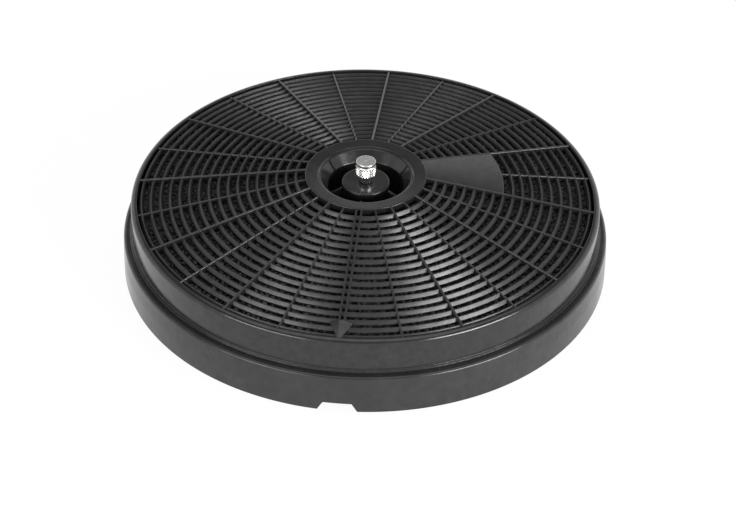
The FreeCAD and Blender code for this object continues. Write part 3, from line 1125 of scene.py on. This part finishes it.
# Thumb screw: knurled knob, collar and threaded shank, turned in one piece
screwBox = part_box("thumb_screw")
screw = {
    "foot": screwBox[0].z / mm,
    "top": screwBox[1].z / mm,
    "angles": evenAngles(208),
    "shank": 2.5,
    "shankChamfer": 0.7,
    "groove": 2.15,
    "grooveLow": 11.9,
    "grooveTop": 12.7,
    "threadTop": 11.2,
    "pitch": 0.8,
    "threadDepth": 0.45,
    "threadStart": 0.3,    # above the shank's foot
    "threadRows": 10,      # rows of points to each pitch
    "crestShare": 0.12,    # of half a pitch, the thread's flat crest and its flank
    "flankShare": 0.76,
    "base": 46.3,
    "collar": 4.1,
    "collarFoot": 3.4,
    "collarBend": 1.9,     # above the base, where the collar's slope meets its straight part
    "collarStraight": 2.6,
    "knurlLow": 50.1,
    "knurlHigh": 55.1,
    "knurl": 4.9,
    "knurlDepth": 0.5,
    "knurlTurns": 22,
    "knurlRows": 42,
    "knurlRunOut": 0.4,    # height over which the grooves fade at each end
    "neck": 4.25,
    "headLow": 56.1,
    "head": 4.75,
    "headEdge": 0.3,
    "headSoft": 0.08,
    "dimple": (1.1, 0.9, 0.7, 0.5),    # radii of the lathe's mark in the middle of the head
    "dimpleDepth": 0.06,
}


def threadRadius(angle, height):
    s = screw
    phase = (height / s["pitch"] - angle / 360) % 1
    flank = abs(phase - 0.5) * 2
    runIn = min(1, max(0, (s["threadTop"] - height) / s["pitch"]))
    cut = min(1, max(0, (flank - s["crestShare"]) / s["flankShare"]))
    return s["shank"] - s["threadDepth"] * cut * runIn


def knurlRadius(angle, height):
    # Two crossing sets of spiral grooves leave rows of small pyramids
    s = screw
    side = 2 * pi * s["knurl"] / s["knurlTurns"]
    left = angle / 360 * s["knurlTurns"] + height / side
    right = angle / 360 * s["knurlTurns"] - height / side
    groove = max(abs(left % 1 - 0.5), abs(right % 1 - 0.5)) * 2
    fade = min(1, (height - s["knurlLow"]) / s["knurlRunOut"],
               (s["knurlHigh"] - height) / s["knurlRunOut"])
    return s["knurl"] - s["knurlDepth"] * (1 - (1 - groove) * max(0, fade))


def screwPiece():
    # Rows of points from foot to top: a radius, or a rule that gives it for each angle. Where
    # two parts of the outline meet, a row a little off the corner breaks the edge.
    s = screw
    rows = [(0, s["foot"], None), (s["shank"] - s["shankChamfer"], s["foot"], None)]
    height = s["foot"] + s["threadStart"]
    while height < s["threadTop"]:
        rows.append((None, height, threadRadius))
        height += s["pitch"] / s["threadRows"]
    plain = [(s["shank"], s["grooveLow"] - 0.15), (s["shank"] - 0.05, s["grooveLow"]),
             (s["groove"], s["grooveLow"] + 0.02), (s["groove"], s["grooveTop"] - 0.02),
             (s["shank"] - 0.05, s["grooveTop"]), (s["shank"], s["grooveTop"] + 0.15),
             (s["shank"], s["base"] - 0.05), (s["collarFoot"] - 0.3, s["base"]),
             (s["collarFoot"], s["base"] + 0.25),
             (s["collar"] - 0.1, s["base"] + s["collarBend"]),
             (s["collar"], s["base"] + s["collarStraight"]),
             (s["collar"], s["knurlLow"] - 0.25), (s["collar"] + 0.1, s["knurlLow"] - 0.1)]
    rows += [(r, z, None) for r, z in plain]
    for i in range(s["knurlRows"] + 1):
        up = (s["knurlHigh"] - s["knurlLow"]) * i / s["knurlRows"]
        rows.append((None, s["knurlLow"] + up, knurlRadius))
    soft = s["headSoft"]
    edge = s["headEdge"]
    crown = [(s["neck"] + 0.1, s["knurlHigh"] + 0.1), (s["neck"], s["knurlHigh"] + 0.25),
             (s["neck"], s["headLow"] - 0.15), (s["head"] - 0.1, s["headLow"]),
             (s["head"], s["headLow"] + 0.1), (s["head"], s["top"] - edge - 0.1),
             (s["head"] - soft, s["top"] - edge + soft),
             (s["head"] - edge + soft, s["top"] - soft),
             (s["head"] - edge - soft, s["top"]), (s["head"] - edge - 0.25, s["top"])]
    crown += [(radius, s["top"] - drop)
              for radius, drop in zip(s["dimple"], (0, 0, s["dimpleDepth"], 0))]
    rows += [(r, z, None) for r, z in crown + [(0, s["top"])]]
    vertices = []
    rowIndex = []
    count = len(s["angles"])
    for radius, height, rule in rows:
        start = len(vertices)
        for angle in s["angles"][:1] if radius == 0 else s["angles"]:
            r = rule(angle, height) if rule else radius
            a = radians(angle)
            vertices.append((r * cos(a) * mm, r * sin(a) * mm, height * mm))
        rowIndex.append([start] * count if radius == 0 else list(range(start, start + count)))
    faces = []
    for near, far in zip(rowIndex, rowIndex[1:]):
        for j in range(count):
            k = (j + 1) % count
            faces.append(list(dict.fromkeys([near[j], near[k], far[k], far[j]])))
    return makeObject("thumbScrew", vertices, faces)


dress(screwPiece(), nickel, "screw", "nickel_plate", "thumb_screw", sharp=metalSharp)

# Retaining ring, sprung into the shank's groove
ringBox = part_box("retaining_ring")
retainer = {
    "angles": evenAngles(96),
    "foot": ringBox[0].z / mm,
    "top": ringBox[1].z / mm,
    "outside": ringBox[1].x / mm,
    "inside": 2.15,
    "edge": 0.15,
}


def retainerPiece():
    r = retainer
    return turnedPiece("retainingRing", [
        (r["inside"], r["foot"], r["edge"]),
        (r["outside"], r["foot"], r["edge"]),
        (r["outside"], r["top"], r["edge"]),
        (r["inside"], r["top"], r["edge"]),
    ], r["angles"], steps=3)


dress(retainerPiece(), steel, "screw", "spring_steel", "retaining_ring")
print("screw made")
